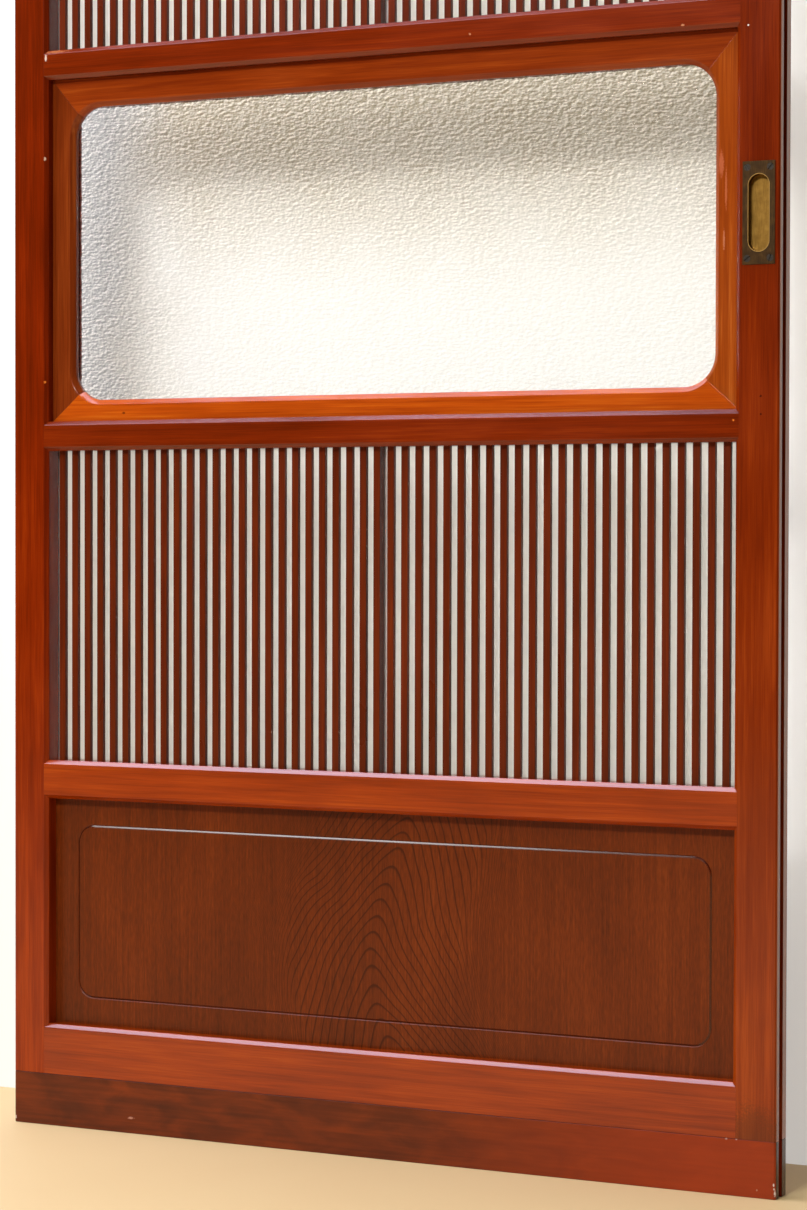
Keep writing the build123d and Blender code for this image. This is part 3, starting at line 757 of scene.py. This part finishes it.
def figured_sheet(name, low, high):
    """A closed sheet between two corners. The front, at -Y, is a grid of (x, low y plus the relief
    that is missing from a full pebble, z), then come four walls and one flat back."""
    columns = int((high.x - low.x) / grid_wide) + 1
    rows = int((high.z - low.z) / grid_high) + 1
    x, z = np.meshgrid(np.linspace(low.x, high.x, columns), np.linspace(low.z, high.z, rows))
    edge = np.minimum.reduce([x - low.x, high.x - x, z - low.z, high.z - z])
    fade = np.clip(edge / pebble_wide, 0, 1)
    front = np.stack([x, low.y + (pebble_relief - pebbles(x, z)) * fade, z], -1).reshape(-1, 3)
    index = np.arange(rows * columns).reshape(rows, columns)
    quads = np.stack([index[:-1, :-1], index[:-1, 1:], index[1:, 1:], index[1:, :-1]], -1).reshape(-1, 4)
    rim = np.concatenate([index[0, :-1], index[:-1, -1], index[-1, :0:-1], index[:0:-1, 0]])
    back_rim = front[rim].copy()
    back_rim[:, 1] = high.y
    points = np.concatenate([front, back_rim])
    base = rows * columns
    around = np.arange(len(rim))
    after = np.roll(around, -1)
    walls = np.stack([rim[after], rim[around], base + around, base + after], -1)
    back = [tuple(int(i) for i in base + around[::-1])]
    mesh = bpy.data.meshes.new(name)
    mesh.from_pydata(points.tolist(), [], quads.tolist() + walls.tolist() + back)
    mesh.polygons.foreach_set("use_smooth", np.arange(len(mesh.polygons)) < len(quads))
    sheet = bpy.data.objects.new(name, mesh)
    scene.collection.objects.link(sheet)
    return sheet


glass_low, glass_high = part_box("figured_glass")
pebbled_glass = figured_sheet("pebbled_glass_sheet", glass_low, glass_high)
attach(pebbled_glass, "root")
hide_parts("figured_glass")
print("glass faces:", len(pebbled_glass.data.polygons))

# %% [markdown]
# ## Rolled glass
#
# The glass is clear, with a low roughness left by the roller and an IOR of 1.5. Its tint carries
# painted light and shade: each pebble has a painted lit side and a painted shaded side, which
# follow the slope of a pebble-sized noise: the noise here less the noise a step aside. At the head
# and the left of the pane a painted shadow, standing in for the frame's shadow on the wall behind,
# greys the pebbles and mottles them more, in a zone whose edge wanders like a cloud. Relief that
# is finer than the grid can carry is bump.

# %% Rolled glass
# Counts per metre: the shaded pebbles are about 5.4 by 2.9 mm, and the fine relief 2.4 by 1.4 mm
shades_per_metre = (185.0, 185.0, 340.0)
shade_step = (0.22, 0.0, -0.34)
shaded_slope = -0.11
lit_slope = 0.13
fine_per_metre = (420.0, 420.0, 700.0)
clouds_per_metre = 11.0
cloud_reach = 0.09
painted_shadow_head = (0.93, 1.14)
painted_shadow_left = (-0.27, -0.405)

rolled_glass, tree, place = new_material("rolled_figured_glass")
fine_place = add_node(tree, "ShaderNodeMapping", {"Vector": place, "Scale": fine_per_metre})
fine_relief = add_node(tree, "ShaderNodeTexNoise", {"Vector": fine_place, "Scale": 1.0, "Detail": 1.0})
# Painted light and shade on each pebble: the slope of the noise picks a lit, whiter tint or a shaded, greyer
# one.
pebble_place = add_node(tree, "ShaderNodeMapping", {"Vector": place, "Scale": shades_per_metre})
beside = add_node(tree, "ShaderNodeVectorMath", {0: pebble_place, 1: shade_step})
here = add_node(tree, "ShaderNodeTexNoise", {"Vector": pebble_place, "Scale": 1.0, "Detail": 1.0})
there = add_node(tree, "ShaderNodeTexNoise", {"Vector": beside, "Scale": 1.0, "Detail": 1.0})
slope = add_node(tree, "ShaderNodeMath", {0: here, 1: there}, operation="SUBTRACT")
painted_pebble_light = add_node(tree, "ShaderNodeMapRange", {0: slope, 1: shaded_slope, 2: lit_slope})

# Painted shadow at the head and the left, for the frame's shadow on the wall behind, in a zone with a cloudy
# edge.
axes = add_node(tree, "ShaderNodeSeparateXYZ", {0: place})
clouds = add_node(tree, "ShaderNodeTexNoise", {"Vector": place, "Scale": clouds_per_metre, "Detail": 2.0})
waved_z = add_node(tree, "ShaderNodeMath", {0: clouds, 1: cloud_reach, 2: axes.outputs["Z"]},
                   operation="MULTIPLY_ADD")
waved_x = add_node(tree, "ShaderNodeMath", {0: clouds, 1: -cloud_reach, 2: axes.outputs["X"]},
                   operation="MULTIPLY_ADD")
head_shadow = add_node(tree, "ShaderNodeMapRange", {0: waved_z, 1: painted_shadow_head[0], 2: painted_shadow_head[1]},
                     interpolation_type="SMOOTHSTEP")
left_shadow = add_node(tree, "ShaderNodeMapRange", {0: waved_x, 1: painted_shadow_left[0], 2: painted_shadow_left[1]},
                     interpolation_type="SMOOTHSTEP")
painted_frame_shadow = add_node(tree, "ShaderNodeMath", {0: head_shadow, 1: left_shadow}, operation="MAXIMUM")

shaded_side_in_shadow = add_node(tree, "ShaderNodeMix", {0: left_shadow, 6: linear("#A0947A"), 7: linear("#A2A5A7")},
                      data_type="RGBA")
lit_side_in_shadow = add_node(tree, "ShaderNodeMix", {0: left_shadow, 6: linear("#FFFAF0"), 7: linear("#FFFFFF")},
                     data_type="RGBA")
shaded_side_tint = add_node(tree, "ShaderNodeMix", {0: painted_frame_shadow, 6: linear("#DCDCD8"), 7: shaded_side_in_shadow},
                      data_type="RGBA")
lit_side_tint = add_node(tree, "ShaderNodeMix", {0: painted_frame_shadow, 6: linear("#EEEEEC"), 7: lit_side_in_shadow},
                     data_type="RGBA")
# The tint carries the painted pebble light and the painted frame shadow into the glass's colour.
tint = add_node(tree, "ShaderNodeMix", {0: painted_pebble_light, 6: shaded_side_tint, 7: lit_side_tint}, data_type="RGBA")
relief = add_node(tree, "ShaderNodeBump", {"Height": fine_relief, "Strength": 0.5, "Distance": 0.4 * MM})
clear_glass = add_node(tree, "ShaderNodeBsdfPrincipled", {"Base Color": tint, "Roughness": 0.06, "IOR": 1.5,
                                                          "Transmission Weight": 1.0, "Normal": relief})
add_node(tree, "ShaderNodeOutputMaterial", {"Surface": clear_glass})
pebbled_glass.data.materials.append(rolled_glass)
print("glass nodes:", len(tree.nodes))

# %% [markdown]
# ## Border line of the panel
#
# A fine line runs round the panel, one distance inside its edges, with rounded corners. It is a
# groove whose inner flank has its own polished strip of wood, and along the top, where that flank
# faces up, it catches the light as a bright line. The strip is swept round the groove: a section
# of five points, from the lip to the floor and back beneath, carried along four straight stretches
# and four quarter rounds.

# %% Border line
panel_low, panel_high = [np.array(corner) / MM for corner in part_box("lower_panel")]
panel_face = panel_low[1]
border_inset = 37.8
border_middle = ((panel_low + panel_high) / 2)[[0, 2]]
border_half = ((panel_high - panel_low) / 2)[[0, 2]] - border_inset
border_round = 17.1
corner_steps = 13
# The section's points in millimetres: outward from the lip, and back from the panel's face
strip_across = np.array([-0.3, -0.2, 1.5, 1.3, -0.2])
strip_depth = np.array([-0.03, -0.05, 0.88, 1.1, 0.02])


def swept_strip(name, face):
    """Rings of points: corner centre + (border_round + u) (cos t, sin t) for turns t of a quarter
    at each corner, where u and the depth behind the face run through the strip's section."""
    turns = np.concatenate([np.linspace(k, k + 1, corner_steps) for k in range(4)]) * math.pi / 2
    corner = np.repeat([[1, 1], [-1, 1], [-1, -1], [1, -1]], corner_steps, axis=0)
    centres = border_middle + corner * (border_half - border_round)
    outward = np.stack([np.cos(turns), np.sin(turns)], -1)
    flat = centres[:, None] + outward[:, None] * (border_round + strip_across)[None, :, None]
    behind_face = np.broadcast_to(face + strip_depth, flat.shape[:2])
    points = np.stack([flat[..., 0], behind_face, flat[..., 1]], -1).reshape(-1, 3) * MM
    index = np.arange(len(points)).reshape(len(turns), -1)
    after, beyond = np.roll(index, -1, axis=0), np.roll(index, -1, axis=1)
    both = np.roll(after, -1, axis=1)
    quads = np.stack([index, beyond, both, after], -1).reshape(-1, 4)
    mesh = bpy.data.meshes.new(name)
    mesh.from_pydata(points.tolist(), [], quads.tolist())
    strip = bpy.data.objects.new(name, mesh)
    scene.collection.objects.link(strip)
    return strip


border_strip = swept_strip("panel_border_strip", panel_face)
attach(border_strip, "root")
strip_wood = lacquered_wood(
    "lacquered_border_strip", "X", [(0.30, "#3A1204"), (0.50, "#441605"), (0.72, "#4E1B06")],
    shift=37.0, ring=4.0, roughness=0.12, shine=0.6)
border_strip.data.materials.append(strip_wood)
print("strip faces:", len(border_strip.data.polygons), "panel face at", round(panel_face, 2), "mm")

# %% [markdown]
# ## Dressing the nodes
#
# Every node takes its finish by name. Real joinery has no knife-sharp edge, and a rounded arris is
# what catches the light as a thin line, so each wooden and metal node also gets a Weld, which
# joins its loose triangles, and a small Bevel on the edges that turn by more than 25 degrees. The
# panes keep their edges, and cast no shadow, because light comes through them to the wall behind.

# %% Finishes by node
bead_nodes = [name for name in nodes if name.endswith("_bead")]
pane_nodes = [name for name in nodes if name.endswith("_pane")]
finishes = {
    "left_stile": left_stile_wood, "right_stile": right_stile_wood, "bottom_extension": extension_wood,
    "upper_slats": shaded_slat_wood, "lower_slats": shaded_slat_wood,
    "upper_mullion": shaded_slat_wood, "lower_mullion": shaded_slat_wood,
    "subframe_bottom": glass_frame_foot, "subframe_top": glass_frame_top,
    "subframe_left": glass_frame_left, "subframe_right": glass_frame_right,
    "lower_panel": veneer, "finger_pull": aged_brass, "pull_screws": oiled_steel,
}
finishes.update({name: upper_rail_wood for name in nodes if name.endswith("_rail")})
finishes["panel_top_rail"] = finishes["bottom_rail"] = lower_rail_wood
finishes.update({name: bead_wood for name in bead_nodes})
finishes.update({name: frosted_glass for name in pane_nodes})

bevel_widths = {"finger_pull": 0.4, "pull_screws": 0.15, "upper_slats": 0.4, "lower_slats": 0.4,
                "lower_panel": 0.3, "bottom_extension": 0.9, "subframe_top": 0.35, "subframe_left": 0.35,
                "subframe_right": 0.35, "subframe_bottom": 0.35}
frame_bevel = 0.7
sharp_turn = math.radians(25)
weld_reach = 0.001 * MM

for name, material in finishes.items():
    piece = nodes[name]
    piece.data.materials.clear()
    piece.data.materials.append(material)
    if name in pane_nodes:
        piece.visible_shadow = False
        continue
    weld = piece.modifiers.new("join_triangles", "WELD")
    weld.merge_threshold = weld_reach
    bevel = piece.modifiers.new("rounded_arrises", "BEVEL")
    bevel.width = bevel_widths.get(name, frame_bevel) * MM
    bevel.segments = 2
    bevel.limit_method = "ANGLE"
    bevel.angle_limit = sharp_turn
    bevel.harden_normals = True
pebbled_glass.visible_shadow = False
print("dressed nodes:", len(finishes), "of", len(nodes))
